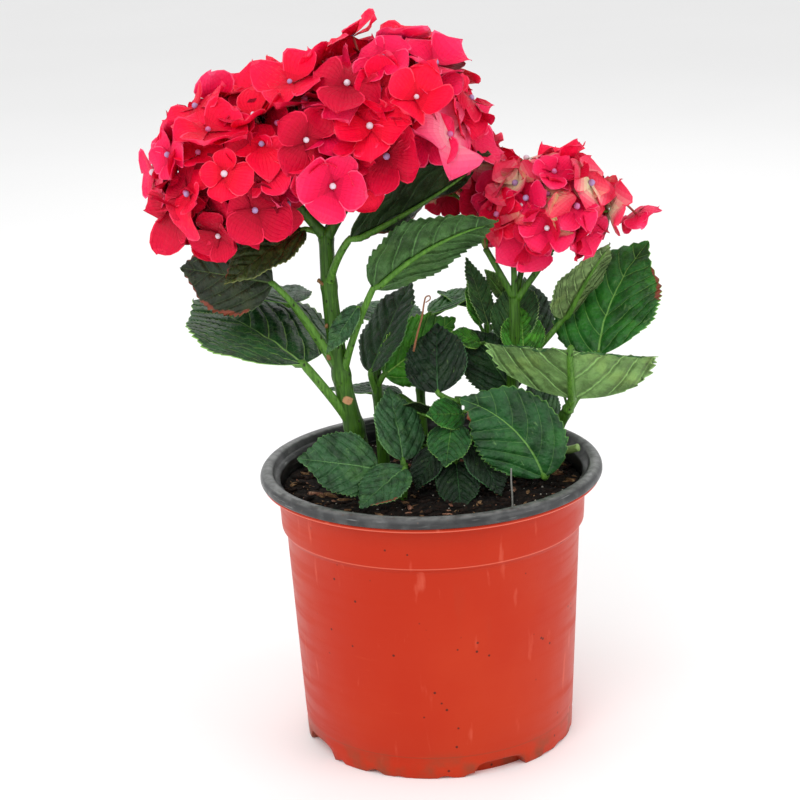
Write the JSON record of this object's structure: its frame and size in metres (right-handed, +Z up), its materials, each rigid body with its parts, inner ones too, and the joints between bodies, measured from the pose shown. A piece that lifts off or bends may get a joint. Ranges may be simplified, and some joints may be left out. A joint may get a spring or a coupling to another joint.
{
  "type": "potted hydrangea shrub",
  "caption": "Young mophead hydrangea in a nursery pot: stout green stems with broad toothed leaves under a large and a small rounded head of crimson florets.",
  "frame": {"origin": "middle of the pot's flat underside", "axes": "+Z up the plant, +X to the right of the pot's front, -Y out of the front, where the picture was taken from"},
  "size_m": [0.3203, 0.2561, 0.4639],
  "materials": {
    "terracotta_plastic": "satin terracotta-coloured moulded plastic, scuffed and a little dirty at the foot",
    "black_plastic": "black moulded plastic with pale scuffs",
    "potting_soil": "moist dark potting mix with bark chips",
    "stem_green": "smooth green half-woody stem with small dark spots and leaf scars",
    "leaf_green": "deep green leaf blades, paler underneath, with light veins and bright toothed edges",
    "sepal_red": "crimson sepals with paler edges"
  },
  "bodies": {
    "root": {"pot": "terracotta_plastic", "pot_rim": "black_plastic", "soil": "potting_soil", "main_stem": "stem_green", "right_stem": "stem_green", "right_shoot": "stem_green", "left_bough": "stem_green", "middle_bough": "stem_green", "back_bough": "stem_green", "right_ray_1": "stem_green", "right_ray_2": "stem_green", "right_ray_3": "stem_green", "right_ray_4": "stem_green", "left_veined_leaf": "leaf_green", "left_shaded_leaf": "leaf_green", "left_upper_leaf": "leaf_green", "right_upper_leaf": "leaf_green", "right_arching_leaf": "leaf_green", "right_facing_leaf": "leaf_green", "right_rear_leaf": "leaf_green", "right_folded_leaf": "leaf_green", "front_right_leaf": "leaf_green", "front_left_mass": "leaf_green", "middle_mass": "leaf_green", "low_centre_mass": "leaf_green", "centre_right_mass": "leaf_green", "small_twisted_leaf": "leaf_green", "back_left_mass": "leaf_green", "back_right_mass": "leaf_green", "left_rear_leaf": "leaf_green", "large_flower_head": "sepal_red", "small_flower_head": "sepal_red"}
  },
  "joints": []
}
